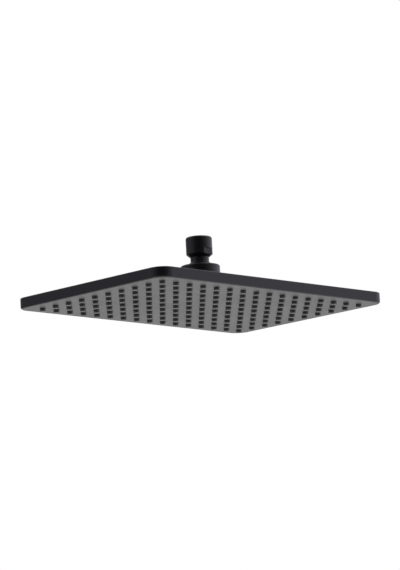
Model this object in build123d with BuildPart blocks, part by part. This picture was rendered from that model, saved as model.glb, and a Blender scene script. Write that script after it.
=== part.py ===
from build123d import *
import os
from math import sqrt

# Rectangular overhead shower head on a ball joint, in millimetres.
# Z = 0 is the mouth of the inlet thread, +Z points up the shower arm, X runs along the long side.

# Inlet connector
connector_radius = 12.8
connector_height = 20.0
connector_edge_radius = 2.0
cone_height = 2.9
cone_foot_radius = 9.3
flat_across = 23.5
flat_height = 8.0
thread_radius = 10.48
thread_depth = 9.5
pocket_radius = 9.4
stem_thread_radius = 7.2

# Inlet washer, filter screen and flow regulator
washer_thickness = 2.0
washer_bore_radius = 6.0
screen_thickness = 0.3
screen_dome_radius = 5.2
screen_dome_height = 1.9
regulator_flange = 1.4
regulator_body_radius = 7.0
regulator_body_height = 2.0
regulator_hole_radius = 1.2
regulator_hole_circle = 4.4
regulator_hole_count = 6

# Ball stem
neck_radius = 9.0
neck_length = 4.5
neck_fillet = 1.0
ball_radius = 14.0
ball_cut = 9.9
stem_bore_radius = 5.0
bore_flare_radius = 7.4
bore_flare_depth = 2.4

# Swivel: collar nut, seat ring, seal, cup and socket
collar_radius = 19.15
collar_rise = 7.1
collar_height = 17.7
collar_lip = 2.8
collar_mouth_radius = 13.1
collar_edge_radius = 1.5
seal_section = 2.5
cup_thickness = 1.05
cup_top_angle = 107.0
cup_bottom_angle = 142.0
socket_radius = 16.9
socket_flange_radius = 27.0
socket_flange = 2.5
outlet_radius = 9.2
gasket_thickness = 1.0
gasket_width = 3.4

# Screws that hold the socket under the hub of the shell
screw_count = 4
screw_circle = 23.2
screw_radius = 1.45
screw_grip = 4.0
screw_head_radius = 2.8
screw_head_height = 1.8

# Back shell
plate_length = 303.0
plate_width = 203.0
plate_corner_radius = 14.0
rim_height = 10.4
rim_wall = 3.0
rim_edge_radius = 0.8
rim_foot_radius = 2.0
roof_thickness = 2.2
dome_rise = 11.25
dome_border = 3.0
waist_inset_x = 56.0
waist_inset_y = 37.0
waist_drop = 5.0
waist_corner_radius = 28.0
pad_flat = 1.0
hub_radius = 28.0
hub_thickness = 6.0
seal_rib_width = 1.6
seal_rib_inset = 5.0

# Spray face and nozzles
face_thickness = 2.4
face_ledge = 0.7
face_edge_chamfer = 0.3
mat_thickness = 1.2
nozzle_columns = 16
nozzle_rows = 10
nozzle_margin = 19.0
nozzle_radius = 2.8
nozzle_length = 2.8
orifice_radius = 0.65
nozzle_sides = 8
orifice_sides = 6

# Clearances
ball_clearance = 0.15
lip_clearance = 0.35
thread_clearance = 0.1
ring_clearance = 0.2
seat_gap = 0.05
panel_gap = 0.2
hole_clearance = 0.15
collar_gap = 0.5

# Levels on the axis, each worked down from the one above
pocket_depth = washer_thickness + screen_thickness + regulator_flange
pocket_floor_z = -(thread_depth + pocket_depth)
regulator_top_z = pocket_floor_z + regulator_flange
screen_top_z = regulator_top_z + screen_thickness
connector_foot_z = -connector_height
stem_top_z = pocket_floor_z - regulator_body_height - ring_clearance
ball_centre_z = connector_foot_z - neck_length - sqrt(ball_radius**2 - neck_radius**2)
collar_top_z = ball_centre_z + collar_rise
collar_bottom_z = collar_top_z - collar_height
pad_z = collar_bottom_z - collar_gap
hub_floor_z = pad_z - hub_thickness
flange_top_z = hub_floor_z - gasket_thickness
flange_floor_z = flange_top_z - socket_flange
rim_top_z = pad_z - dome_rise
face_z = rim_top_z - rim_height
face_top_z = face_z + face_thickness
mat_top_z = face_top_z + mat_thickness

# Sizes that several pieces share
seat_ball_radius = ball_radius + ball_clearance
cup_outer_radius = seat_ball_radius + cup_thickness
socket_pocket_radius = cup_outer_radius + ball_clearance
collar_bore_radius = socket_radius + thread_clearance
hub_bore_radius = socket_radius + thread_clearance
seal_centre_z = ball_centre_z + seal_section / 2 + seat_gap
seal_reach = ball_radius + seal_section / 2 + ball_clearance
seal_ring_radius = sqrt(seal_reach**2 - (seal_centre_z - ball_centre_z) ** 2)
seat_floor_z = seal_centre_z + seal_section / 2 + seat_gap
seat_top_z = collar_top_z - collar_lip - seat_gap
screw_length = socket_flange + gasket_thickness + screw_grip
inner_length = plate_length - 2 * rim_wall
inner_width = plate_width - 2 * rim_wall
inner_corner_radius = plate_corner_radius - rim_wall
crown_length = plate_length - 2 * dome_border
crown_width = plate_width - 2 * dome_border
waist_length = crown_length - 2 * waist_inset_x
waist_width = crown_width - 2 * waist_inset_y
rib_length = inner_length - 2 * seal_rib_inset
rib_width = inner_width - 2 * seal_rib_inset
rib_corner_radius = inner_corner_radius - seal_rib_inset
recess_length = inner_length + 2 * face_ledge
recess_width = inner_width + 2 * face_ledge
recess_corner_radius = inner_corner_radius + face_ledge
nozzle_pitch_x = (plate_length - 2 * nozzle_margin) / (nozzle_columns - 1)
nozzle_pitch_y = (plate_width - 2 * nozzle_margin) / (nozzle_rows - 1)

os.makedirs("parts", exist_ok=True)


def nozzle_grid():
    return GridLocations(nozzle_pitch_x, nozzle_pitch_y, nozzle_columns, nozzle_rows)


def screw_ring():
    return PolarLocations(screw_circle, screw_count, start_angle=45)


# Inlet connector: a turned socket for the arm's thread, coned in to the neck, with two wrench flats
with BuildPart() as inlet_connector:
    with BuildSketch(Plane.XZ):
        with BuildLine():
            Polyline(
                (thread_radius, 0),
                (connector_radius, 0),
                (connector_radius, connector_foot_z + cone_height),
                (cone_foot_radius, connector_foot_z),
                (stem_thread_radius, connector_foot_z),
                (stem_thread_radius, pocket_floor_z),
                (pocket_radius, pocket_floor_z),
                (pocket_radius, -thread_depth),
                (thread_radius, -thread_depth),
                close=True,
            )
        make_face()
    revolve(axis=Axis.Z)
    top_circles = inlet_connector.edges().filter_by(GeomType.CIRCLE).group_by(Axis.Z)[-1]
    fillet(top_circles.sort_by(SortBy.RADIUS)[-1], connector_edge_radius)
    with BuildSketch(Plane.XY.offset(connector_foot_z)):
        Circle(2 * connector_radius)
        Rectangle(6 * connector_radius, flat_across, mode=Mode.SUBTRACT)
    extrude(amount=flat_height, mode=Mode.SUBTRACT)
inlet_connector.part.label = "inlet_connector"
export_step(inlet_connector.part, "parts/inlet_connector.step")

# Flow regulator: a flanged disc with a ring of metering holes, seated on the pocket floor
with BuildPart() as flow_regulator:
    with BuildSketch(Plane.XY.offset(pocket_floor_z)):
        Circle(pocket_radius - thread_clearance)
    extrude(amount=regulator_flange)
    with BuildSketch(Plane.XY.offset(pocket_floor_z)):
        Circle(regulator_body_radius)
    extrude(amount=-regulator_body_height)
    with BuildSketch(Plane.XY.offset(regulator_top_z)):
        with PolarLocations(regulator_hole_circle, regulator_hole_count):
            Circle(regulator_hole_radius)
    extrude(amount=-(regulator_flange + regulator_body_height), mode=Mode.SUBTRACT)
flow_regulator.part.label = "flow_regulator"
export_step(flow_regulator.part, "parts/flow_regulator.step")

# Filter screen: a thin domed disc whose rim is clamped under the washer
with BuildPart() as filter_screen:
    with BuildSketch(Plane.XZ):
        with BuildLine():
            dome_top_z = screen_top_z + screen_dome_height
            RadiusArc(
                (screen_dome_radius, screen_top_z),
                (0, dome_top_z),
                -(screen_dome_radius**2 + screen_dome_height**2) / (2 * screen_dome_height),
            )
            Line((0, dome_top_z), (0, dome_top_z - screen_thickness))
            RadiusArc(
                (0, dome_top_z - screen_thickness),
                (screen_dome_radius, regulator_top_z),
                (screen_dome_radius**2 + screen_dome_height**2) / (2 * screen_dome_height),
            )
            Polyline(
                (screen_dome_radius, regulator_top_z),
                (pocket_radius - thread_clearance, regulator_top_z),
                (pocket_radius - thread_clearance, screen_top_z),
                (screen_dome_radius, screen_top_z),
            )
        make_face()
    revolve(axis=Axis.Z)
filter_screen.part.label = "filter_screen"
export_step(filter_screen.part, "parts/filter_screen.step")

# Inlet washer: the flat seal that the end of the arm presses on
with BuildPart() as inlet_washer:
    with BuildSketch(Plane.XY.offset(screen_top_z)):
        Circle(pocket_radius - thread_clearance)
        Circle(washer_bore_radius, mode=Mode.SUBTRACT)
    extrude(amount=washer_thickness)
inlet_washer.part.label = "inlet_washer"
export_step(inlet_washer.part, "parts/inlet_washer.step")

# Ball stem: shank, neck and ball turned in one piece, with the water bore through them
with BuildPart() as ball_stem:
    neck_ball_z = ball_centre_z + sqrt(ball_radius**2 - neck_radius**2)
    ball_floor_z = ball_centre_z - ball_cut
    ball_floor_radius = sqrt(ball_radius**2 - ball_cut**2)
    with BuildSketch(Plane.XZ):
        with BuildLine():
            Polyline(
                (neck_radius, neck_ball_z),
                (neck_radius, connector_foot_z),
                (stem_thread_radius - thread_clearance, connector_foot_z),
                (stem_thread_radius - thread_clearance, stem_top_z),
                (stem_bore_radius, stem_top_z),
                (stem_bore_radius, ball_floor_z + bore_flare_depth),
                (bore_flare_radius, ball_floor_z),
                (ball_floor_radius, ball_floor_z),
            )
            ThreePointArc(
                (ball_floor_radius, ball_floor_z),
                (ball_radius, ball_centre_z),
                (neck_radius, neck_ball_z),
            )
        make_face()
    revolve(axis=Axis.Z)
    neck_edges = ball_stem.edges().filter_by(GeomType.CIRCLE).filter_by_position(
        Axis.Z, neck_ball_z - 0.1, neck_ball_z + 0.1
    )
    fillet(neck_edges, neck_fillet)
ball_stem.part.label = "ball_stem"
export_step(ball_stem.part, "parts/ball_stem.step")

# Ball cup: a zone of a spherical shell that carries the ball from below
with BuildPart() as ball_cup:
    cup_start_angle = 90 - cup_bottom_angle
    cup_sweep = cup_bottom_angle - cup_top_angle
    with BuildSketch(Plane.XZ):
        with BuildLine():
            inner_arc = CenterArc((0, ball_centre_z), seat_ball_radius, cup_start_angle, cup_sweep)
            outer_arc = CenterArc((0, ball_centre_z), cup_outer_radius, cup_start_angle, cup_sweep)
            Line(inner_arc @ 0, outer_arc @ 0)
            Line(inner_arc @ 1, outer_arc @ 1)
        make_face()
    revolve(axis=Axis.Z)
ball_cup.part.label = "ball_cup"
export_step(ball_cup.part, "parts/ball_cup.step")

# Ball seal: the O-ring between the ball, the collar and the top of the socket
with BuildPart() as ball_seal:
    with BuildSketch(Plane.XZ):
        with Locations((seal_ring_radius, seal_centre_z)):
            Circle(seal_section / 2)
    revolve(axis=Axis.Z)
ball_seal.part.label = "ball_seal"
export_step(ball_seal.part, "parts/ball_seal.step")

# Seat ring: the slippery ring under the collar's lip that holds the ball down
with BuildPart() as seat_ring:
    with BuildSketch(Plane.XY.offset(seat_floor_z)):
        Circle(collar_bore_radius - ring_clearance)
    extrude(amount=seat_top_z - seat_floor_z)
    with Locations((0, 0, ball_centre_z)):
        Sphere(seat_ball_radius, mode=Mode.SUBTRACT)
seat_ring.part.label = "seat_ring"
export_step(seat_ring.part, "parts/seat_ring.step")

# Collar nut: a cap screwed over the socket, open at the top for the neck
with BuildPart() as collar_nut:
    with BuildSketch(Plane.XY.offset(collar_bottom_z)):
        Circle(collar_radius)
    extrude(amount=collar_height)
    fillet(collar_nut.edges().group_by(Axis.Z)[-1], collar_edge_radius)
    with BuildSketch(Plane.XY.offset(collar_bottom_z)):
        Circle(collar_bore_radius)
    extrude(amount=collar_height - collar_lip, mode=Mode.SUBTRACT)
    with Locations((0, 0, ball_centre_z)):
        Sphere(ball_radius + lip_clearance, mode=Mode.SUBTRACT)
    with BuildSketch(Plane.XY.offset(collar_top_z)):
        Circle(collar_mouth_radius)
    extrude(amount=-collar_lip, mode=Mode.SUBTRACT)
collar_nut.part.label = "collar_nut"
export_step(collar_nut.part, "parts/collar_nut.step")

# Swivel socket: a threaded tube with a spherical pocket, flanged to the underside of the hub
with BuildPart() as swivel_socket:
    with BuildSketch(Plane.XY.offset(flange_floor_z)):
        Circle(socket_radius)
    extrude(amount=ball_centre_z - flange_floor_z)
    with BuildSketch(Plane.XY.offset(flange_floor_z)):
        Circle(socket_flange_radius)
    extrude(amount=socket_flange)
    with Locations((0, 0, ball_centre_z)):
        Sphere(socket_pocket_radius, mode=Mode.SUBTRACT)
    with BuildSketch(Plane.XY.offset(flange_floor_z)):
        Circle(outlet_radius)
        with screw_ring():
            Circle(screw_radius + hole_clearance)
    extrude(amount=ball_centre_z - flange_floor_z, mode=Mode.SUBTRACT)
swivel_socket.part.label = "swivel_socket"
export_step(swivel_socket.part, "parts/swivel_socket.step")

# Socket gasket: the flat ring between the flange and the hub
with BuildPart() as socket_gasket:
    with BuildSketch(Plane.XY.offset(flange_top_z)):
        Circle(hub_bore_radius + gasket_width)
        Circle(hub_bore_radius, mode=Mode.SUBTRACT)
    extrude(amount=gasket_thickness)
socket_gasket.part.label = "socket_gasket"
export_step(socket_gasket.part, "parts/socket_gasket.step")

# Socket screws: pan heads under the flange, shanks up into the hub
with BuildPart() as socket_screws:
    with BuildSketch(Plane.XY.offset(flange_floor_z)):
        with screw_ring():
            Circle(screw_head_radius)
    extrude(amount=-screw_head_height)
    with BuildSketch(Plane.XY.offset(flange_floor_z)):
        with screw_ring():
            Circle(screw_radius)
    extrude(amount=screw_length)
socket_screws.part.label = "socket_screws"
export_step(socket_screws.part, "parts/socket_screws.step")

# Back shell: a rimmed pan with a crowned back that rises to a flat pad around the hub
with BuildPart() as back_shell:
    with BuildSketch(Plane.XY.offset(face_z)):
        RectangleRounded(plate_length, plate_width, plate_corner_radius)
    extrude(amount=rim_height)
    fillet(back_shell.edges().group_by(Axis.Z)[-1], rim_edge_radius)
    fillet(back_shell.edges().group_by(Axis.Z)[0], rim_foot_radius)
    with BuildSketch(Plane.XY.offset(face_z)):
        RectangleRounded(inner_length, inner_width, inner_corner_radius)
    extrude(amount=rim_height - roof_thickness, mode=Mode.SUBTRACT)
    for depth, mode in ((0, Mode.ADD), (roof_thickness, Mode.SUBTRACT)):
        with BuildSketch(Plane.XY.offset(rim_top_z - depth)):
            RectangleRounded(crown_length, crown_width, plate_corner_radius)
        with BuildSketch(Plane.XY.offset(pad_z - waist_drop - depth)):
            RectangleRounded(waist_length, waist_width, waist_corner_radius)
        with BuildSketch(Plane.XY.offset(pad_z - depth)):
            RectangleRounded(2 * hub_radius, 2 * hub_radius, hub_radius - pad_flat / 2)
        loft(mode=mode)
    with BuildSketch(Plane.XY.offset(mat_top_z)):
        RectangleRounded(rib_length, rib_width, rib_corner_radius)
        offset(amount=-seal_rib_width, mode=Mode.SUBTRACT)
    extrude(amount=rim_top_z - mat_top_z)
    with BuildSketch(Plane.XY.offset(hub_floor_z)):
        Circle(hub_radius)
    extrude(amount=hub_thickness)
    with BuildSketch(Plane.XY.offset(hub_floor_z)):
        Circle(hub_bore_radius)
    extrude(amount=hub_thickness, mode=Mode.SUBTRACT)
    with BuildSketch(Plane.XY.offset(hub_floor_z)):
        with screw_ring():
            Circle(screw_radius + thread_clearance)
    extrude(amount=screw_grip + ring_clearance, mode=Mode.SUBTRACT)
    with BuildSketch(Plane.XY.offset(face_z)):
        RectangleRounded(recess_length, recess_width, recess_corner_radius)
    extrude(amount=face_thickness, mode=Mode.SUBTRACT)
back_shell.part.label = "back_shell"
export_step(back_shell.part, "parts/back_shell.step")

# Face plate: the spray face, flush in the rim, with a hole for every nozzle
with BuildPart() as face_plate:
    with BuildSketch(Plane.XY.offset(face_z)):
        RectangleRounded(
            recess_length - 2 * panel_gap, recess_width - 2 * panel_gap, recess_corner_radius - panel_gap
        )
    extrude(amount=face_thickness)
    chamfer(face_plate.edges().group_by(Axis.Z)[0], face_edge_chamfer)
    with BuildSketch(Plane.XY.offset(face_z)):
        with nozzle_grid():
            RegularPolygon(nozzle_radius + hole_clearance, nozzle_sides)
    extrude(amount=face_thickness, mode=Mode.SUBTRACT)
face_plate.part.label = "face_plate"
export_step(face_plate.part, "parts/face_plate.step")

# Nozzle mat: a silicone sheet on the face plate whose stubs stand out through its holes
with BuildPart() as nozzle_mat:
    with BuildSketch(Plane.XY.offset(face_top_z)):
        RectangleRounded(
            inner_length - 2 * panel_gap, inner_width - 2 * panel_gap, inner_corner_radius - panel_gap
        )
    extrude(amount=mat_thickness)
    with BuildSketch(Plane.XY.offset(face_top_z)):
        with nozzle_grid():
            RegularPolygon(nozzle_radius, nozzle_sides)
    extrude(amount=-(face_thickness + nozzle_length))
    with BuildSketch(Plane.XY.offset(mat_top_z)):
        with nozzle_grid():
            RegularPolygon(orifice_radius, orifice_sides)
    extrude(amount=-(mat_thickness + face_thickness + nozzle_length), mode=Mode.SUBTRACT)
nozzle_mat.part.label = "nozzle_mat"
export_step(nozzle_mat.part, "parts/nozzle_mat.step")
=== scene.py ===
"""Looks of a rectangular overhead shower head on a ball joint.

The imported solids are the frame. This script gives every piece its finish, draws the soft
nozzles, the inlet thread and the woven filter, and sets the studio light and the camera.
Sizes carry their unit in their name. Those in millimetres become metres where a mesh, a node or
the camera is made.
"""

import logging
import math
from abc import ABC, abstractmethod
from dataclasses import dataclass
from enum import Enum
from typing import Any

import bmesh
import bpy
from mathutils import Matrix, Vector


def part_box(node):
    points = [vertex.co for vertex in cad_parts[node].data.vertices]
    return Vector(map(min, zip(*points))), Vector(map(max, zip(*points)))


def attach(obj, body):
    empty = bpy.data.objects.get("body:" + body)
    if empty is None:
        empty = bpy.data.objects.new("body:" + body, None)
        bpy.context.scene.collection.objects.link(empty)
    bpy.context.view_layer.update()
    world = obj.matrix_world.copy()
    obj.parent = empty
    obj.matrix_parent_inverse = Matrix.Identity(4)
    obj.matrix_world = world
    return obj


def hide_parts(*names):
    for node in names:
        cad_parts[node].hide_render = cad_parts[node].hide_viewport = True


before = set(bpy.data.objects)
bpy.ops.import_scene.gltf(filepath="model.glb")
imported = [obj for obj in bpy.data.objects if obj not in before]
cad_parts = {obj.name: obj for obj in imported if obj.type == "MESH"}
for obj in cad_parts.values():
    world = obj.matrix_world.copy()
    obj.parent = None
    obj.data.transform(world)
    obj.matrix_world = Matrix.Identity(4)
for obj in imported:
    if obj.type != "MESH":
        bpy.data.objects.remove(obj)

MM = 0.001
SHARP_DEG = 35
QUARTER_TURN = (0.0, 0.0, math.pi / 2)
WHITE = (1.0, 1.0, 1.0, 1.0)
CLOUD_DETAIL = 3.0
GRAIN_DETAIL = 2.0
# Most of a cloud's values lie between these two.
CLOUD_LOW, CLOUD_HIGH = 0.3, 0.7
# A wave pattern repeats after this length at a scale of 1.
WAVE_LENGTH = 2 * math.pi / 20
RING_WOBBLE = 0.2
log = logging.getLogger("shower_head")


class Body(Enum):
    """The bodies that the drawn pieces ride on."""

    CONNECTOR = "connector"
    HEAD = "head"


class Slot(Enum):
    """The record's material slots for the drawn pieces, by name. Nothing in this script gives a piece one of
    them.
    """

    COATED_BRASS = "black_coated_brass"
    SILICONE = "black_silicone"
    MESH = "steel_mesh"


def linear(colour: str) -> tuple[float, float, float, float]:
    """Turns an sRGB hex colour to linear light.

    Args:
        colour: Six hex digits after a hash sign.

    Returns:
        Red, green, blue and an alpha of 1.
    """
    parts = [int(colour[i : i + 2], 16) / 255 for i in (1, 3, 5)]
    light = [c / 12.92 if c <= 0.04045 else ((c + 0.055) / 1.055) ** 2.4 for c in parts]
    return (light[0], light[1], light[2], 1.0)


def per_metre(size_mm: float) -> float:
    """Gives the texture scale at which one cell of a pattern is this many millimetres."""
    return 1 / (size_mm * MM)


def outward(azimuth_deg: float, elevation_deg: float = 0.0) -> Vector:
    """Gives the direction from the object to a place on an orbit about it.

    Args:
        azimuth_deg: The orbit angle, which is 0 towards -Y and 90 towards +X.
        elevation_deg: The angle above the horizon.

    Returns:
        A vector of length 1.
    """
    azimuth, elevation = math.radians(azimuth_deg), math.radians(elevation_deg)
    level = math.cos(elevation)
    return Vector((math.sin(azimuth) * level, -math.cos(azimuth) * level, math.sin(elevation)))


def add_node(
    tree: bpy.types.NodeTree,
    kind: str,
    inputs: dict[str | int, Any] | None = None,
    **settings: Any,
) -> bpy.types.Node:
    """Adds a node with its settings, values and links.

    Args:
        tree: The shader or geometry tree.
        kind: The node's type name.
        inputs: Values or output sockets, by input name or index.
        **settings: Properties of the node.

    Returns:
        The new node.
    """
    node = tree.nodes.new(kind)
    for name, value in settings.items():
        setattr(node, name, value)
    for socket, value in (inputs or {}).items():
        if isinstance(value, bpy.types.NodeSocket):
            tree.links.new(value, node.inputs[socket])
        else:
            node.inputs[socket].default_value = value
    return node


@dataclass(frozen=True)
class Finish(ABC):
    """What all finishes share: a cloudy tone, an uneven gloss and a fine relief.

    Attributes:
        name: The material's name.
        colour: The main colour.
        cloud: The colour of the faint clouds in it.
        cloud_mm: The size of a cloud.
        gloss: The lowest and highest roughness.
        relief_mm: The size of a grain, or the spacing of the rings.
        relief_depth_mm: How deep the grain or the rings are.
    """

    name: str
    colour: str
    cloud: str
    cloud_mm: float
    gloss: tuple[float, float]
    relief_mm: float
    relief_depth_mm: float

    @abstractmethod
    def constants(self) -> dict[str, float]:
        """Gives the shader's values that are the same all over the surface."""

    @abstractmethod
    def relief(self, tree: bpy.types.NodeTree, place: bpy.types.NodeSocket) -> bpy.types.NodeSocket:
        """Adds the pattern of the relief.

        Args:
            tree: The material's tree.
            place: The coordinates that the pattern is drawn in.

        Returns:
            The relief's height.
        """

    def material(self) -> bpy.types.Material:
        """Builds the finish as a node material.

        Returns:
            The material.
        """
        made = bpy.data.materials.new(self.name)
        made.use_nodes = True
        tree = made.node_tree
        shader = tree.nodes["Principled BSDF"]
        for socket, value in self.constants().items():
            shader.inputs[socket].default_value = value
        place = add_node(tree, "ShaderNodeTexCoord").outputs["Object"]
        cloud = add_node(
            tree,
            "ShaderNodeTexNoise",
            {"Vector": place, "Scale": per_metre(self.cloud_mm), "Detail": CLOUD_DETAIL},
        ).outputs[0]
        tone = add_node(
            tree,
            "ShaderNodeMix",
            {"Factor": cloud, "A": linear(self.colour), "B": linear(self.cloud)},
            data_type="RGBA",
        )
        gloss = add_node(
            tree,
            "ShaderNodeMapRange",
            {
                "Value": cloud,
                "From Min": CLOUD_LOW,
                "From Max": CLOUD_HIGH,
                "To Min": self.gloss[0],
                "To Max": self.gloss[1],
            },
        )
        bump = add_node(
            tree,
            "ShaderNodeBump",
            {"Height": self.relief(tree, place), "Strength": 1.0, "Distance": self.relief_depth_mm * MM},
        )
        tree.links.new(tone.outputs[2], shader.inputs["Base Color"])
        tree.links.new(gloss.outputs["Result"], shader.inputs["Roughness"])
        tree.links.new(bump.outputs["Normal"], shader.inputs["Normal"])
        return made


@dataclass(frozen=True)
class GrainedFinish(Finish):
    """A moulded, coated or rubbery surface with a fine grain.

    Attributes:
        ior: The index of refraction.
    """

    ior: float = 1.5

    def constants(self) -> dict[str, float]:
        """Gives the index of refraction."""
        return {"IOR": self.ior}

    def relief(self, tree: bpy.types.NodeTree, place: bpy.types.NodeSocket) -> bpy.types.NodeSocket:
        """Adds the grain.

        Args:
            tree: The material's tree.
            place: The coordinates that the grain is drawn in.

        Returns:
            The grain's height.
        """
        grain = add_node(
            tree,
            "ShaderNodeTexNoise",
            {"Vector": place, "Scale": per_metre(self.relief_mm), "Detail": GRAIN_DETAIL},
        )
        return grain.outputs[0]


@dataclass(frozen=True, kw_only=True)
class NozzleFinishWithPaintedShade(GrainedFinish):
    """A silicone whose nozzles are painted darker towards their roots: painted shade for the gap and contact
    shadow where they stand in their holes.

    Attributes:
        painted_root_shade: The colour of the painted shade where the nozzles leave the plate.
    """

    painted_root_shade: str

    def graded(self, root_level: float, tip_level: float) -> bpy.types.Material:
        """Builds the finish as a node material that is graded along the nozzles, with painted shade towards
        their roots.

        Args:
            root_level: The height of the nozzles' roots, in metres.
            tip_level: The height of their tips, where the main colour is reached, in metres.

        Returns:
            The material.
        """
        made = self.material()
        tree = made.node_tree
        base = tree.nodes["Principled BSDF"].inputs["Base Color"]
        place = add_node(tree, "ShaderNodeTexCoord").outputs["Object"]
        height = add_node(tree, "ShaderNodeSeparateXYZ", {0: place}).outputs["Z"]
        along = add_node(
            tree, "ShaderNodeMapRange", {"Value": height, "From Min": root_level, "From Max": tip_level}
        )
        # Painted shade: the colour darkens towards the nozzles' roots, standing in for the shadow in the
        # holes of the plate.
        tone = add_node(
            tree,
            "ShaderNodeMix",
            {"Factor": along.outputs["Result"], "A": linear(self.painted_root_shade), "B": base.links[0].from_socket},
            data_type="RGBA",
        )
        tree.links.new(tone.outputs[2], base)
        return made


@dataclass(frozen=True)
class TurnedFinish(Finish):
    """A bare metal with the fine rings that a lathe tool leaves about the vertical axis."""

    def constants(self) -> dict[str, float]:
        """Makes the surface a metal."""
        return {"Metallic": 1.0}

    def relief(self, tree: bpy.types.NodeTree, place: bpy.types.NodeSocket) -> bpy.types.NodeSocket:
        """Adds the rings.

        Args:
            tree: The material's tree.
            place: The coordinates that the rings are drawn in.

        Returns:
            The rings' height.
        """
        rings = add_node(
            tree,
            "ShaderNodeTexWave",
            {"Vector": place, "Scale": per_metre(self.relief_mm) * WAVE_LENGTH, "Distortion": RING_WOBBLE},
            wave_type="RINGS",
            rings_direction="Z",
        )
        return rings.outputs[0]


# Baked black coating on turned brass: an even satin whose faint orange peel softens the highlights.
COATED_BRASS = GrainedFinish(
    "baked_black_coating_on_brass", "#0E0E11", "#121215", 14, (0.30, 0.36), 1.6, 0.012
)
# Satin black moulded ABS: a spark-eroded mould leaves a fine even grain. It is drawn coarser than it is.
MOULDED_SHELL = GrainedFinish("satin_moulded_black_abs", "#0B0B0F", "#101014", 40, (0.32, 0.38), 1.3, 0.010)
# Satin charcoal moulded ABS of the spray face: greyer and duller than the shell, and pale at a low angle.
MOULDED_FACE = GrainedFinish(
    "satin_moulded_charcoal_abs", "#3F3F40", "#464647", 45, (0.45, 0.51), 1.2, 0.008, 1.62
)
# Moulded silicone: soft and slightly dusty, with a satin gloss. Its dark grey deepens to black towards the
# nozzles' roots, painted shade for the dark gaps where they stand in their holes.
SOFT_SILICONE_WITH_ROOT_SHADE = NozzleFinishWithPaintedShade(
    "moulded_black_silicone_with_root_shade", "#3E3D3A", "#464441", 3, (0.34, 0.40), 0.8, 0.008, painted_root_shade="#161616"
)
# Moulded nitrile rubber: matt black with a dry bloom.
SEAL_RUBBER = GrainedFinish("moulded_black_nitrile", "#161616", "#222222", 4, (0.6, 0.75), 0.7, 0.02, 1.52)
# Moulded acetal: smooth, waxy white.
WAXY_ACETAL = GrainedFinish("moulded_white_acetal", "#E4E2DC", "#DAD7CF", 9, (0.3, 0.4), 1.5, 0.006, 1.48)
# Turned brass: warm metal with fine tool rings. The rings are drawn coarser than they are.
TURNED_BRASS = TurnedFinish("turned_brass", "#D9B56A", "#C79F55", 8, (0.22, 0.34), 0.6, 0.01)
# Stainless steel wire: drawn, bright and slightly uneven.
DRAWN_STEEL = TurnedFinish("drawn_stainless_wire", "#C9CACC", "#B4B6B8", 3, (0.22, 0.34), 0.5, 0.004)
# Cold-headed stainless screws: bright heads with faint rings.
HEADED_STEEL = TurnedFinish("headed_stainless_steel", "#C4C5C7", "#ABADB0", 3, (0.25, 0.38), 0.4, 0.006)


def dress(node: str, material: bpy.types.Material) -> None:
    """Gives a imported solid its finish."""
    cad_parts[node].material_slots[0].material = material
    log.info("dressed %s with %s", node, material.name)


def new_object(name: str, data: bpy.types.ID) -> bpy.types.Object:
    """Links an object to the scene, at the origin.

    Args:
        name: The object's name.
        data: Its mesh, lamp or camera.

    Returns:
        The object.
    """
    made = bpy.data.objects.new(name, data)
    bpy.context.scene.collection.objects.link(made)
    return made


def skin_mesh(name: str, rings: list[list[tuple[float, float, float]]]) -> bpy.types.Mesh:
    """Lays faces from each ring of points to the next and closes both ends.

    Args:
        name: The mesh's name.
        rings: Rings of equally many points, in metres.

    Returns:
        A closed mesh whose faces point outwards, smooth up to its sharp edges.
    """
    built = bmesh.new()
    loops = [[built.verts.new(point) for point in ring] for ring in rings]
    for upper, lower in zip(loops, loops[1:]):
        for i in range(len(upper)):
            j = (i + 1) % len(upper)
            built.faces.new((upper[i], lower[i], lower[j], upper[j]))
    built.faces.new(loops[0])
    built.faces.new(loops[-1])
    bmesh.ops.recalc_face_normals(built, faces=built.faces)
    for face in built.faces:
        face.smooth = True
    mesh = bpy.data.meshes.new(name)
    built.to_mesh(mesh)
    built.free()
    mesh.set_sharp_from_angle(angle=math.radians(SHARP_DEG))
    return mesh


def grow(piece: bpy.types.Object, tree: bpy.types.NodeTree, values: dict[str, Any]) -> None:
    """Runs a geometry tree on a piece and keeps its result as the piece's plain mesh.

    Args:
        piece: The object that the tree works on.
        tree: The geometry tree.
        values: The tree's inputs, by name.
    """
    modifier = piece.modifiers.new(tree.name, "NODES")
    modifier.node_group = tree
    for item in tree.interface.items_tree:
        if item.in_out == "INPUT" and item.name in values:
            modifier[item.identifier] = values[item.name]
    evaluated = piece.evaluated_get(bpy.context.evaluated_depsgraph_get())
    mesh = bpy.data.meshes.new_from_object(evaluated)
    mesh.materials.clear()
    mesh.materials.append(values["Finish"])
    piece.modifiers.remove(modifier)
    piece.data = mesh


def start_tree(name: str, inputs: dict[str, str]) -> tuple[bpy.types.NodeTree, bpy.types.Node]:
    """Starts a geometry tree with named inputs.

    Args:
        name: The tree's name.
        inputs: Socket types, by input name.

    Returns:
        The tree and its input node.
    """
    tree = bpy.data.node_groups.new(name, "GeometryNodeTree")
    tree.interface.new_socket("Geometry", in_out="INPUT", socket_type="NodeSocketGeometry")
    for socket, kind in inputs.items():
        tree.interface.new_socket(socket, in_out="INPUT", socket_type=kind)
    tree.interface.new_socket("Geometry", in_out="OUTPUT", socket_type="NodeSocketGeometry")
    return tree, add_node(tree, "NodeGroupInput")


def finish_tree(
    tree: bpy.types.NodeTree, geometry: bpy.types.NodeSocket, finish: bpy.types.NodeSocket
) -> None:
    """Ends a geometry tree in real meshes with a finish.

    Args:
        tree: The geometry tree.
        geometry: What the tree has made.
        finish: The material input.
    """
    real = add_node(tree, "GeometryNodeRealizeInstances", {"Geometry": geometry})
    dressed = add_node(tree, "GeometryNodeSetMaterial", {"Geometry": real.outputs[0], "Material": finish})
    add_node(tree, "NodeGroupOutput", {0: dressed.outputs[0]})


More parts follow.
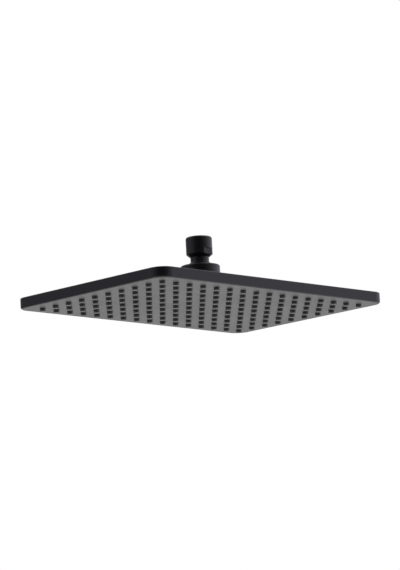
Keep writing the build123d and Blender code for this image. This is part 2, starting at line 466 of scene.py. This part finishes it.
@dataclass
class SprayFace:
    """The spray face: a plate flush in the rim and a silicone mat whose nozzles stand through it.

    Attributes:
        columns: How many nozzles a row has.
        rows: How many rows there are.
        edge_margin_mm: From the outside of the rim to the middle of the outermost nozzles.
        skirt_radius_mm: The skirt that covers the edge of the nozzle's hole.
        shank_radius_mm: The nozzle where it passes through the plate.
        foot_radius_mm: The nozzle where it leaves its skirt.
        side_radius_mm: The nozzle near its tip.
        tip_rounding_mm: The radius of the tip's rounded edge.
        skirt_height_mm: How far the skirt stands out from the plate.
        skirt_gap_mm: The room between the skirt and the plate.
        orifice_radius_mm: The orifice at the tip.
        orifice_throat_mm: The orifice at its inner end.
        orifice_depth_mm: How deep the orifice is.
        sheet_corner_mm: The radius of the sheet's corners.
        corner_steps: How many faces round off a corner of the sheet.
        nozzle_sides: How many sides a nozzle has.
    """

    columns: int = 16
    rows: int = 10
    edge_margin_mm: float = 19.0
    skirt_radius_mm: float = 3.02
    shank_radius_mm: float = 2.65
    foot_radius_mm: float = 2.92
    side_radius_mm: float = 2.70
    tip_rounding_mm: float = 0.5
    skirt_height_mm: float = 0.25
    skirt_gap_mm: float = 0.01
    orifice_radius_mm: float = 0.6
    orifice_throat_mm: float = 0.45
    orifice_depth_mm: float = 1.2
    sheet_corner_mm: float = 10.8
    corner_steps: int = 8
    nozzle_sides: int = 12

    def nozzle(self, face_mm: float, root_mm: float, tip_mm: float) -> bpy.types.Object:
        """Makes the nozzle that the field repeats.

        Args:
            face_mm: The level of the spray face.
            root_mm: The level in the mat's sheet where the nozzle starts.
            tip_mm: The level of the nozzle's tip.

        Returns:
            An object that serves as a pattern and is removed later.
        """
        bend = self.tip_rounding_mm
        # The middle of the tip's rounding lies this far inside the corner that it takes off.
        inset = bend * (1 - math.sqrt(0.5))
        profile = [
            (self.shank_radius_mm, root_mm),
            (self.shank_radius_mm, face_mm - self.skirt_gap_mm),
            (self.skirt_radius_mm, face_mm - self.skirt_gap_mm),
            (self.foot_radius_mm, face_mm - self.skirt_height_mm),
            (self.side_radius_mm, tip_mm + bend),
            (self.side_radius_mm - inset, tip_mm + inset),
            (self.side_radius_mm - bend, tip_mm),
            (self.orifice_radius_mm, tip_mm),
            (self.orifice_throat_mm, tip_mm + self.orifice_depth_mm),
        ]
        turns = [2 * math.pi * i / self.nozzle_sides for i in range(self.nozzle_sides)]
        rings = [
            [(radius * MM * math.cos(t), radius * MM * math.sin(t), height * MM) for t in turns]
            for radius, height in profile
        ]
        return new_object("nozzle_pattern", skin_mesh("nozzle_pattern", rings))

    def sheet(self, high: Vector, floor: float) -> bpy.types.Mesh:
        """Makes the mat's sheet, a slab with rounded corners about the middle of the face.

        Args:
            high: The highest corner of the mat's box.
            floor: The height of the sheet's underside, in metres.

        Returns:
            The sheet's mesh.
        """
        radius = self.sheet_corner_mm * MM
        outline = []
        for quarter, (sx, sy) in enumerate(((1, 1), (-1, 1), (-1, -1), (1, -1))):
            for step in range(self.corner_steps + 1):
                turn = math.pi / 2 * (quarter + step / self.corner_steps)
                x = sx * (high.x - radius) + radius * math.cos(turn)
                y = sy * (high.y - radius) + radius * math.sin(turn)
                outline.append((x, y))
        return skin_mesh("nozzle_sheet", [[(x, y, z) for x, y in outline] for z in (high.z, floor)])

    def field_tree(self) -> bpy.types.NodeTree:
        """Builds the tree that repeats the nozzle over the face and joins it to the sheet.

        Returns:
            The geometry tree.
        """
        tree, given = start_tree(
            "nozzle_field",
            {
                "Nozzle": "NodeSocketObject",
                "Columns": "NodeSocketInt",
                "Rows": "NodeSocketInt",
                "Span X": "NodeSocketFloat",
                "Span Y": "NodeSocketFloat",
                "Finish": "NodeSocketMaterial",
            },
        )
        spots = add_node(
            tree,
            "GeometryNodeMeshGrid",
            {
                "Size X": given.outputs["Span X"],
                "Size Y": given.outputs["Span Y"],
                "Vertices X": given.outputs["Columns"],
                "Vertices Y": given.outputs["Rows"],
            },
        )
        pattern = add_node(
            tree, "GeometryNodeObjectInfo", {"Object": given.outputs["Nozzle"], "As Instance": True}
        )
        field = add_node(
            tree,
            "GeometryNodeInstanceOnPoints",
            {"Points": spots.outputs["Mesh"], "Instance": pattern.outputs["Geometry"]},
        )
        joined = add_node(tree, "GeometryNodeJoinGeometry")
        tree.links.new(given.outputs["Geometry"], joined.inputs[0])
        tree.links.new(field.outputs["Instances"], joined.inputs[0])
        finish_tree(tree, joined.outputs[0], given.outputs["Finish"])
        return tree

    def build(self) -> None:
        """Dresses the plate and builds the nozzle mat."""
        dress("face_plate", MOULDED_FACE.material())
        plate_low, plate_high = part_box("face_plate")
        low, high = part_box("nozzle_mat")
        shell_low, shell_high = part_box("back_shell")
        # The silicone gets painted shade that darkens from the tips towards the plate's level.
        silicone = SOFT_SILICONE_WITH_ROOT_SHADE.graded(plate_low.z, low.z)
        pattern = self.nozzle(plate_low.z / MM, high.z / MM, low.z / MM)
        mat = new_object("soft_nozzles", self.sheet(high, plate_high.z))
        margin = 2 * self.edge_margin_mm * MM
        grow(
            mat,
            self.field_tree(),
            {
                "Nozzle": pattern,
                "Columns": self.columns,
                "Rows": self.rows,
                "Span X": shell_high.x - shell_low.x - margin,
                "Span Y": shell_high.y - shell_low.y - margin,
                "Finish": silicone,
            },
        )
        bpy.data.objects.remove(pattern)
        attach(mat, Body.HEAD.value)
        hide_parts("nozzle_mat")
        log.info("built %s: %d faces", mat.name, len(mat.data.polygons))


@dataclass
class InletConnector:
    """The inlet: the coated nut, its thread, the washer, the filter and the flow regulator.

    Attributes:
        bore_radius_mm: The bore, at the thread's major radius.
        crest_radius_mm: The crests that stand into the bore.
        pitch_mm: The thread's pitch.
        crest_width_mm: The width of the ridge at its crest.
        root_width_mm: The width of the ridge at the bore.
        thread_start_mm: How far below the mouth the thread starts.
        thread_end_mm: How far below the mouth it ends.
        steps_per_turn: How many steps one turn of the thread has.
        run_out: The share of the thread's length over which either end shrinks.
        run_out_size: The share of its size that the ridge keeps at its very end.
        wire_radius_mm: The radius of the filter's wires.
        wire_pitch_mm: The spacing of the wires.
        points_per_pitch: How many points a wire has from one crossing to the next.
        wire_sides: How many sides a wire has.
        dome_radius_mm: The radius of the filter's dome at its foot.
        dome_height_mm: How high the dome rises.
    """

    bore_radius_mm: float = 10.48
    crest_radius_mm: float = 9.32
    pitch_mm: float = 1.814
    crest_width_mm: float = 0.35
    root_width_mm: float = 1.65
    thread_start_mm: float = 1.0
    thread_end_mm: float = 8.6
    steps_per_turn: int = 48
    run_out: float = 0.06
    run_out_size: float = 0.05
    wire_radius_mm: float = 0.07
    wire_pitch_mm: float = 0.8
    points_per_pitch: int = 4
    wire_sides: int = 5
    dome_radius_mm: float = 5.2
    dome_height_mm: float = 1.9

    def thread_tree(self) -> bpy.types.NodeTree:
        """Builds the tree that sweeps the thread's ridge along a helix on the bore.

        Returns:
            The geometry tree.
        """
        tree, given = start_tree(
            "inlet_thread",
            {
                "Bore Radius": "NodeSocketFloat",
                "Depth": "NodeSocketFloat",
                "Turns": "NodeSocketFloat",
                "Height": "NodeSocketFloat",
                "Start": "NodeSocketFloat",
                "Crest Width": "NodeSocketFloat",
                "Root Width": "NodeSocketFloat",
                "Steps": "NodeSocketInt",
                "Run Out": "NodeSocketFloat",
                "Run Out Size": "NodeSocketFloat",
                "Finish": "NodeSocketMaterial",
            },
        )
        helix = add_node(
            tree,
            "GeometryNodeCurveSpiral",
            {
                "Resolution": given.outputs["Steps"],
                "Rotations": given.outputs["Turns"],
                "Start Radius": given.outputs["Bore Radius"],
                "End Radius": given.outputs["Bore Radius"],
                "Height": given.outputs["Height"],
            },
        )
        level = add_node(tree, "GeometryNodeSetCurveNormal", {"Curve": helix.outputs["Curve"]}, mode="Z_UP")

        # The ridge shrinks towards both ends of the thread.
        along = add_node(tree, "GeometryNodeSplineParameter").outputs["Factor"]
        from_end = add_node(tree, "ShaderNodeMath", {0: 1.0, 1: along}, operation="SUBTRACT")
        nearest = add_node(tree, "ShaderNodeMath", {0: along, 1: from_end.outputs[0]}, operation="MINIMUM")
        ramp = add_node(
            tree,
            "ShaderNodeMapRange",
            {
                "Value": nearest.outputs[0],
                "From Min": 0.0,
                "From Max": given.outputs["Run Out"],
                "To Min": given.outputs["Run Out Size"],
                "To Max": 1.0,
            },
        )
        tapered = add_node(
            tree, "GeometryNodeSetCurveRadius", {"Curve": level.outputs[0], "Radius": ramp.outputs["Result"]}
        )
        ridge = add_node(
            tree,
            "GeometryNodeCurvePrimitiveQuadrilateral",
            {
                "Height": given.outputs["Depth"],
                "Bottom Width": given.outputs["Crest Width"],
                "Top Width": given.outputs["Root Width"],
                "Offset": 0.0,
            },
            mode="TRAPEZOID",
        )
        half = add_node(tree, "ShaderNodeMath", {0: given.outputs["Depth"], 1: 0.5}, operation="MULTIPLY")
        drop = add_node(tree, "ShaderNodeCombineXYZ", {"X": half.outputs[0]})
        rooted = add_node(
            tree,
            "GeometryNodeTransform",
            {"Geometry": ridge.outputs[0], "Translation": drop.outputs[0], "Rotation": QUARTER_TURN},
        )
        swept = add_node(
            tree,
            "GeometryNodeCurveToMesh",
            {"Curve": tapered.outputs[0], "Profile Curve": rooted.outputs[0], "Fill Caps": True},
        )
        rise = add_node(tree, "ShaderNodeCombineXYZ", {"Z": given.outputs["Start"]})
        placed = add_node(
            tree, "GeometryNodeTransform", {"Geometry": swept.outputs[0], "Translation": rise.outputs[0]}
        )
        finish_tree(tree, placed.outputs[0], given.outputs["Finish"])
        return tree

    def thread(self, finish: bpy.types.Material) -> None:
        """Builds the thread in the bore of the nut.

        Args:
            finish: The nut's own finish.
        """
        piece = new_object("inlet_thread_ridge", bpy.data.meshes.new("inlet_thread_ridge"))
        span = self.thread_end_mm - self.thread_start_mm
        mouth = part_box("inlet_connector")[1].z / MM
        grow(
            piece,
            self.thread_tree(),
            {
                "Bore Radius": self.bore_radius_mm * MM,
                "Depth": (self.bore_radius_mm - self.crest_radius_mm) * MM,
                "Turns": span / self.pitch_mm,
                "Height": span * MM,
                "Start": (mouth - self.thread_end_mm) * MM,
                "Crest Width": self.crest_width_mm * MM,
                "Root Width": self.root_width_mm * MM,
                "Steps": self.steps_per_turn,
                "Run Out": self.run_out,
                "Run Out Size": self.run_out_size,
                "Finish": finish,
            },
        )
        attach(piece, Body.CONNECTOR.value)
        log.info("built %s: %d faces", piece.name, len(piece.data.polygons))

    def weave_tree(self) -> bpy.types.NodeTree:
        """Builds the tree that weaves two sets of wires over the dome of the filter.

        Returns:
            The geometry tree.
        """
        tree, given = start_tree(
            "woven_filter",
            {
                "Radius": "NodeSocketFloat",
                "Wire Start": "NodeSocketVector",
                "Wire End": "NodeSocketVector",
                "First Wire": "NodeSocketVector",
                "Next Wire": "NodeSocketVector",
                "Wires": "NodeSocketInt",
                "Steps": "NodeSocketInt",
                "Turn": "NodeSocketFloat",
                "Wire Radius": "NodeSocketFloat",
                "Wire Sides": "NodeSocketInt",
                "Ball Square": "NodeSocketFloat",
                "Brim": "NodeSocketFloat",
                "Level": "NodeSocketFloat",
                "Finish": "NodeSocketMaterial",
            },
        )
        wire = add_node(
            tree,
            "GeometryNodeCurvePrimitiveLine",
            {"Start": given.outputs["Wire Start"], "End": given.outputs["Wire End"]},
        )
        stepped = add_node(
            tree, "GeometryNodeResampleCurve", {"Curve": wire.outputs[0], "Count": given.outputs["Steps"]}
        )
        row = add_node(
            tree,
            "GeometryNodeMeshLine",
            {
                "Count": given.outputs["Wires"],
                "Start Location": given.outputs["First Wire"],
                "Offset": given.outputs["Next Wire"],
            },
            mode="OFFSET",
        )
        laid = add_node(
            tree, "GeometryNodeInstanceOnPoints", {"Points": row.outputs[0], "Instance": stepped.outputs[0]}
        )
        warp = add_node(tree, "GeometryNodeRealizeInstances", {"Geometry": laid.outputs[0]})
        weft = add_node(
            tree, "GeometryNodeTransform", {"Geometry": warp.outputs[0], "Rotation": QUARTER_TURN}
        )

        # The wires lie flat at first. A dome lifts them, and a wave passes them over and under each other.
        spot = add_node(tree, "GeometryNodeInputPosition").outputs[0]
        out = add_node(tree, "ShaderNodeVectorMath", {0: spot}, operation="LENGTH").outputs["Value"]
        square = add_node(tree, "ShaderNodeMath", {0: out, 1: out}, operation="MULTIPLY")
        inside = add_node(
            tree,
            "ShaderNodeMath",
            {0: given.outputs["Ball Square"], 1: square.outputs[0]},
            operation="SUBTRACT",
        )
        arch = add_node(tree, "ShaderNodeMath", {0: inside.outputs[0]}, operation="SQRT")
        rise = add_node(
            tree, "ShaderNodeMath", {0: arch.outputs[0], 1: given.outputs["Brim"]}, operation="SUBTRACT"
        )
        dome = add_node(tree, "ShaderNodeMath", {0: rise.outputs[0], 1: 0.0}, operation="MAXIMUM")
        base = add_node(
            tree, "ShaderNodeMath", {0: dome.outputs[0], 1: given.outputs["Level"]}, operation="ADD"
        )
        phase = add_node(
            tree, "ShaderNodeVectorMath", {0: spot, "Scale": given.outputs["Turn"]}, operation="SCALE"
        )
        axes = add_node(tree, "ShaderNodeSeparateXYZ", {0: phase.outputs[0]})
        wave_x = add_node(tree, "ShaderNodeMath", {0: axes.outputs["X"]}, operation="COSINE")
        wave_y = add_node(tree, "ShaderNodeMath", {0: axes.outputs["Y"]}, operation="COSINE")
        wave = add_node(
            tree, "ShaderNodeMath", {0: wave_x.outputs[0], 1: wave_y.outputs[0]}, operation="MULTIPLY"
        )
        over = add_node(
            tree,
            "ShaderNodeMath",
            {0: wave.outputs[0], 1: given.outputs["Wire Radius"]},
            operation="MULTIPLY",
        )
        beyond = add_node(
            tree, "ShaderNodeMath", {0: out, 1: given.outputs["Radius"]}, operation="GREATER_THAN"
        )
        section = add_node(
            tree,
            "GeometryNodeCurvePrimitiveCircle",
            {"Resolution": given.outputs["Wire Sides"], "Radius": given.outputs["Wire Radius"]},
        )
        joined = add_node(tree, "GeometryNodeJoinGeometry")
        for wires, side in ((warp, 1.0), (weft, -1.0)):
            height = add_node(
                tree,
                "ShaderNodeMath",
                {0: over.outputs[0], 1: side, 2: base.outputs[0]},
                operation="MULTIPLY_ADD",
            )
            lift = add_node(tree, "ShaderNodeCombineXYZ", {"Z": height.outputs[0]})
            cut = add_node(
                tree,
                "GeometryNodeDeleteGeometry",
                {"Geometry": wires.outputs[0], "Selection": beyond.outputs[0]},
                domain="POINT",
            )
            bent = add_node(
                tree, "GeometryNodeSetPosition", {"Geometry": cut.outputs[0], "Offset": lift.outputs[0]}
            )
            tube = add_node(
                tree,
                "GeometryNodeCurveToMesh",
                {"Curve": bent.outputs[0], "Profile Curve": section.outputs[0], "Fill Caps": True},
            )
            tree.links.new(tube.outputs[0], joined.inputs[0])
        smooth = add_node(tree, "GeometryNodeSetShadeSmooth", {"Geometry": joined.outputs[0]})
        finish_tree(tree, smooth.outputs[0], given.outputs["Finish"])
        return tree

    def filter_mesh(self) -> None:
        """Builds the woven filter in place of the thin solid that stands for it."""
        low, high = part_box("filter_screen")
        piece = new_object("woven_filter_mesh", bpy.data.meshes.new("woven_filter_mesh"))
        radius = high.x / MM - self.wire_radius_mm
        spaces = int(radius / self.wire_pitch_mm)
        ball = (self.dome_radius_mm**2 + self.dome_height_mm**2) / (2 * self.dome_height_mm)
        grow(
            piece,
            self.weave_tree(),
            {
                "Radius": radius * MM,
                "Wire Start": (-radius * MM, 0, 0),
                "Wire End": (radius * MM, 0, 0),
                "First Wire": (0, -spaces * self.wire_pitch_mm * MM, 0),
                "Next Wire": (0, self.wire_pitch_mm * MM, 0),
                "Wires": 2 * spaces + 1,
                "Steps": int(2 * radius / self.wire_pitch_mm * self.points_per_pitch) + 1,
                "Turn": math.pi / (self.wire_pitch_mm * MM),
                "Wire Radius": self.wire_radius_mm * MM,
                "Wire Sides": self.wire_sides,
                "Ball Square": (ball * MM) ** 2,
                "Brim": (ball - self.dome_height_mm) * MM,
                "Level": low.z + 2 * self.wire_radius_mm * MM,
                "Finish": DRAWN_STEEL.material(),
            },
        )
        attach(piece, Body.CONNECTOR.value)
        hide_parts("filter_screen")
        log.info("built %s: %d faces", piece.name, len(piece.data.polygons))

    def build(
        self, coating: bpy.types.Material, rubber: bpy.types.Material, acetal: bpy.types.Material
    ) -> None:
        """Dresses the inlet's solids and builds its thread and filter.

        Args:
            coating: The finish of the nut.
            rubber: The finish of the washer.
            acetal: The finish of the flow regulator.
        """
        dress("inlet_connector", coating)
        dress("inlet_washer", rubber)
        dress("flow_regulator", acetal)
        self.thread(coating)
        self.filter_mesh()


class BallJoint:
    """The ball joint: stem, cup, seat ring, seal, collar nut, socket, gasket and screws."""

    def build(
        self, coating: bpy.types.Material, rubber: bpy.types.Material, acetal: bpy.types.Material
    ) -> None:
        """Dresses the joint's solids.

        Args:
            coating: The finish of the stem and the collar nut.
            rubber: The finish of the seal and the gasket.
            acetal: The finish of the cup and the seat ring.
        """
        finishes = {
            "ball_stem": coating,
            "collar_nut": coating,
            "ball_seal": rubber,
            "socket_gasket": rubber,
            "ball_cup": acetal,
            "seat_ring": acetal,
            "swivel_socket": TURNED_BRASS.material(),
            "socket_screws": HEADED_STEEL.material(),
        }
        for node, finish in finishes.items():
            dress(node, finish)


class BackShell:
    """The moulded back shell."""

    def build(self) -> None:
        """Dresses the shell."""
        dress("back_shell", MOULDED_SHELL.material())


@dataclass(frozen=True)
class PhotoCamera:
    """The photograph's viewpoint, given as an orbit about the middle of the spray face."""

    azimuth_deg: float = -44.909
    elevation_deg: float = -9.962
    roll_deg: float = -2.925
    distance_mm: float = 3602.26
    lens_mm: float = 236.09
    aim_right_mm: float = -2.125
    aim_up_mm: float = 21.794
    aim_level_mm: float = -69.0
    clip_end_m: float = 100.0

    def axes(self) -> tuple[Vector, Vector, Vector]:
        """Works out the camera's axes.

        Returns:
            The directions to the right, up and back from the camera.
        """
        back = outward(self.azimuth_deg, self.elevation_deg)
        right = (-back).cross(Vector((0, 0, 1))).normalized()
        up = right.cross(-back)
        turn = math.radians(self.roll_deg)
        return (
            right * math.cos(turn) + up * math.sin(turn),
            up * math.cos(turn) - right * math.sin(turn),
            back,
        )

    def place(self) -> None:
        """Makes the camera and gives it to the scene."""
        right, up, back = self.axes()
        aim = right * self.aim_right_mm + up * self.aim_up_mm + Vector((0, 0, self.aim_level_mm))
        camera = new_object("photo_camera", bpy.data.cameras.new("photo_camera"))
        camera.data.lens = self.lens_mm
        camera.data.clip_end = self.clip_end_m
        turned = Matrix((right, up, back)).transposed().to_4x4()
        camera.matrix_world = Matrix.Translation((aim + back * self.distance_mm) * MM) @ turned
        bpy.context.scene.camera = camera
        log.info("placed the camera")


@dataclass(frozen=True)
class ShadeWall:
    """A curved card with a roof that darkens what the object mirrors from the camera's side.

    Attributes:
        facing_deg: The orbit angle of the card's middle.
        radius_m: How far it stands from the object.
        half_height_m: How far it reaches up and down.
        tones: Pairs of an angle from the middle, to the right, and the card's brightness there.
        tint: The card's colour where its brightness is 1.
        core: The share of the half height that keeps these tones.
        roof: The brightness of the roof, to which the card fades upwards.
        step_deg: The angle between the card's folds.
    """

    facing_deg: float = -45.0
    radius_m: float = 5.0
    half_height_m: float = 6.0
    tones: tuple[tuple[float, float], ...] = (
        (-160, 0.34), (-120, 0.25), (-103, 0.33), (-90, 0.41), (-72, 0.41), (-58, 0.29), (-46, 0.16),
        (-32, 0.055), (-20, 0.0), (20, 0.0), (32, 0.065), (48, 0.22), (63, 0.42), (76, 0.67), (92, 0.93),
        (106, 1.05), (125, 1.05), (145, 0.9), (160, 0.9),
    )
    tint: str = "#F0F0FF"
    core: float = 0.5
    roof: float = 0.2
    step_deg: float = 5.0

    def mesh(self) -> bpy.types.Mesh:
        """Bends the card out of upright strips and closes it above with the roof.

        Returns:
            The card's mesh.
        """
        first, last = self.tones[0][0], self.tones[-1][0]
        count = int((last - first) / self.step_deg)
        points, faces = [], []
        for i in range(count + 1):
            foot = outward(self.facing_deg + first + (last - first) * i / count) * self.radius_m
            for height in (-self.half_height_m, self.half_height_m):
                points.append((foot.x, foot.y, height))
        for i in range(count):
            faces.append((2 * i, 2 * i + 2, 2 * i + 3, 2 * i + 1))
        faces.append([2 * i + 1 for i in range(count + 1)])
        mesh = bpy.data.meshes.new("shade_wall")
        mesh.from_pydata(points, [], faces)
        return mesh

    def material(self) -> bpy.types.Material:
        """Grades the card along its length and lets it fade to the roof above and to white below.

        Returns:
            The card's material, which glows.
        """
        made = bpy.data.materials.new("shade_wall")
        made.use_nodes = True
        tree = made.node_tree
        tree.nodes.clear()
        place = add_node(tree, "ShaderNodeTexCoord").outputs["Object"]
        side, ahead = (
            add_node(
                tree,
                "ShaderNodeVectorMath",
                {0: place, 1: outward(self.facing_deg + turn)},
                operation="DOT_PRODUCT",
            ).outputs["Value"]
            for turn in (90, 0)
        )
        angle = add_node(tree, "ShaderNodeMath", {0: side, 1: ahead}, operation="ARCTAN2")
        first, last = self.tones[0][0], self.tones[-1][0]
        along = add_node(
            tree,
            "ShaderNodeMapRange",
            {"Value": angle.outputs[0], "From Min": math.radians(first), "From Max": math.radians(last)},
        )
        ramp = add_node(tree, "ShaderNodeValToRGB", {"Fac": along.outputs["Result"]})
        stops = ramp.color_ramp.elements
        # A new stop may start anywhere, because its place is set below.
        while len(stops) < len(self.tones):
            stops.new(0.5)
        tint = linear(self.tint)
        for stop, (degrees, tone) in zip(stops, self.tones):
            stop.position = (degrees - first) / (last - first)
            stop.color = (tone * tint[0], tone * tint[1], tone * tint[2], 1)
        height = add_node(tree, "ShaderNodeSeparateXYZ", {0: place}).outputs["Z"]
        level = add_node(tree, "ShaderNodeMath", {0: height}, operation="ABSOLUTE")
        fade = add_node(
            tree,
            "ShaderNodeMapRange",
            {
                "Value": level.outputs[0],
                "From Min": self.core * self.half_height_m,
                "From Max": self.half_height_m,
            },
            interpolation_type="SMOOTHSTEP",
        )
        above = add_node(tree, "ShaderNodeMath", {0: height, 1: 0.0}, operation="GREATER_THAN")
        ends = add_node(
            tree,
            "ShaderNodeMix",
            {"Factor": above.outputs[0], "A": WHITE, "B": (self.roof, self.roof, self.roof, 1)},
            data_type="RGBA",
        )
        tone = add_node(
            tree,
            "ShaderNodeMix",
            {"Factor": fade.outputs["Result"], "A": ramp.outputs["Color"], "B": ends.outputs[2]},
            data_type="RGBA",
        )
        glow = add_node(tree, "ShaderNodeEmission", {"Color": tone.outputs[2]})
        add_node(tree, "ShaderNodeOutputMaterial", {"Surface": glow.outputs[0]})
        return made

    def place(self) -> None:
        """Stands the card where only the object's reflections show it."""
        card = new_object("shade_wall", self.mesh())
        card.data.materials.append(self.material())
        card.visible_camera = False
        card.visible_shadow = False
        card.visible_diffuse = False
        log.info("stood the shade wall")


@dataclass
class Studio:
    """The set: a white surround, a pale floor far below, two soft lamps and a shade wall."""

    ambient: float = 0.9
    floor_level_m: float = -4.2
    floor_half_m: float = 60.0
    floor_colour: str = "#F4F4F2"
    lamp_size_m: float = 2.4
    lamp_distance_m: float = 3.2
    key_azimuth_deg: float = 60.0
    key_elevation_deg: float = 60.0
    key_watts: float = 28.0
    fill_azimuth_deg: float = -150.0
    fill_elevation_deg: float = 50.0
    fill_watts: float = 20.0

    def seen_rays(self, tree: bpy.types.NodeTree) -> bpy.types.NodeSocket:
        """Adds a factor that is 1 for rays that show the background.

        Args:
            tree: A world or material tree.

        Returns:
            A socket that is 1 for camera, glossy and transmission rays.
        """
        path = add_node(tree, "ShaderNodeLightPath")
        mirrored = add_node(
            tree,
            "ShaderNodeMath",
            {0: path.outputs["Is Camera Ray"], 1: path.outputs["Is Glossy Ray"]},
            operation="MAXIMUM",
        )
        seen = add_node(
            tree,
            "ShaderNodeMath",
            {0: mirrored.outputs[0], 1: path.outputs["Is Transmission Ray"]},
            operation="MAXIMUM",
        )
        return seen.outputs[0]

    def surround(self) -> None:
        """Makes the world white where it is seen and softer where it only lights."""
        world = bpy.data.worlds.new("white_surround")
        world.use_nodes = True
        tree = world.node_tree
        tree.nodes.clear()
        strength = add_node(
            tree,
            "ShaderNodeMapRange",
            {"Value": self.seen_rays(tree), "To Min": self.ambient, "To Max": 1.0},
        )
        glow = add_node(
            tree, "ShaderNodeBackground", {"Color": WHITE, "Strength": strength.outputs["Result"]}
        )
        add_node(tree, "ShaderNodeOutputWorld", {"Surface": glow.outputs[0]})
        bpy.context.scene.world = world

    def floor(self) -> None:
        """Lays a pale floor below every viewpoint."""
        half, level = self.floor_half_m, self.floor_level_m
        mesh = bpy.data.meshes.new("pale_floor")
        corners = [(-half, -half, level), (half, -half, level), (half, half, level), (-half, half, level)]
        mesh.from_pydata(corners, [], [(0, 1, 2, 3)])
        made = bpy.data.materials.new("pale_floor")
        made.use_nodes = True
        tree = made.node_tree
        tree.nodes.clear()
        paint = add_node(tree, "ShaderNodeBsdfDiffuse", {"Color": linear(self.floor_colour)})
        glow = add_node(tree, "ShaderNodeEmission", {"Strength": 1.0})
        mixed = add_node(
            tree, "ShaderNodeMixShader", {0: self.seen_rays(tree), 1: paint.outputs[0], 2: glow.outputs[0]}
        )
        add_node(tree, "ShaderNodeOutputMaterial", {"Surface": mixed.outputs[0]})
        mesh.materials.append(made)
        new_object("pale_floor", mesh)

    def lamp(self, name: str, azimuth_deg: float, elevation_deg: float, watts: float) -> None:
        """Hangs a square soft lamp that faces the object.

        Args:
            name: The lamp's name.
            azimuth_deg: Its orbit angle about the object.
            elevation_deg: Its height above the horizon.
            watts: Its power.
        """
        light = bpy.data.lights.new(name, "AREA")
        light.shape = "SQUARE"
        light.size = self.lamp_size_m
        light.energy = watts
        lamp = new_object(name, light)
        out = outward(azimuth_deg, elevation_deg)
        lamp.location = out * self.lamp_distance_m
        lamp.rotation_euler = out.to_track_quat("Z", "Y").to_euler()
        lamp.visible_camera = False

    def build(self) -> None:
        """Sets up the surround, the floor, the lamps and the wall."""
        bpy.context.scene.view_settings.view_transform = "Standard"
        self.surround()
        self.floor()
        self.lamp("key_lamp", self.key_azimuth_deg, self.key_elevation_deg, self.key_watts)
        self.lamp("fill_lamp", self.fill_azimuth_deg, self.fill_elevation_deg, self.fill_watts)
        ShadeWall().place()
        log.info("set up the studio")


def main() -> None:
    """Builds and dresses the sub-assemblies, then the studio and the camera."""
    logging.basicConfig(level=logging.INFO, format="%(name)s: %(message)s")
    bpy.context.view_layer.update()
    coating = COATED_BRASS.material()
    rubber = SEAL_RUBBER.material()
    acetal = WAXY_ACETAL.material()
    InletConnector().build(coating, rubber, acetal)
    BallJoint().build(coating, rubber, acetal)
    BackShell().build()
    SprayFace().build()
    Studio().build()
    PhotoCamera().place()


if __name__ == "__main__":
    main()
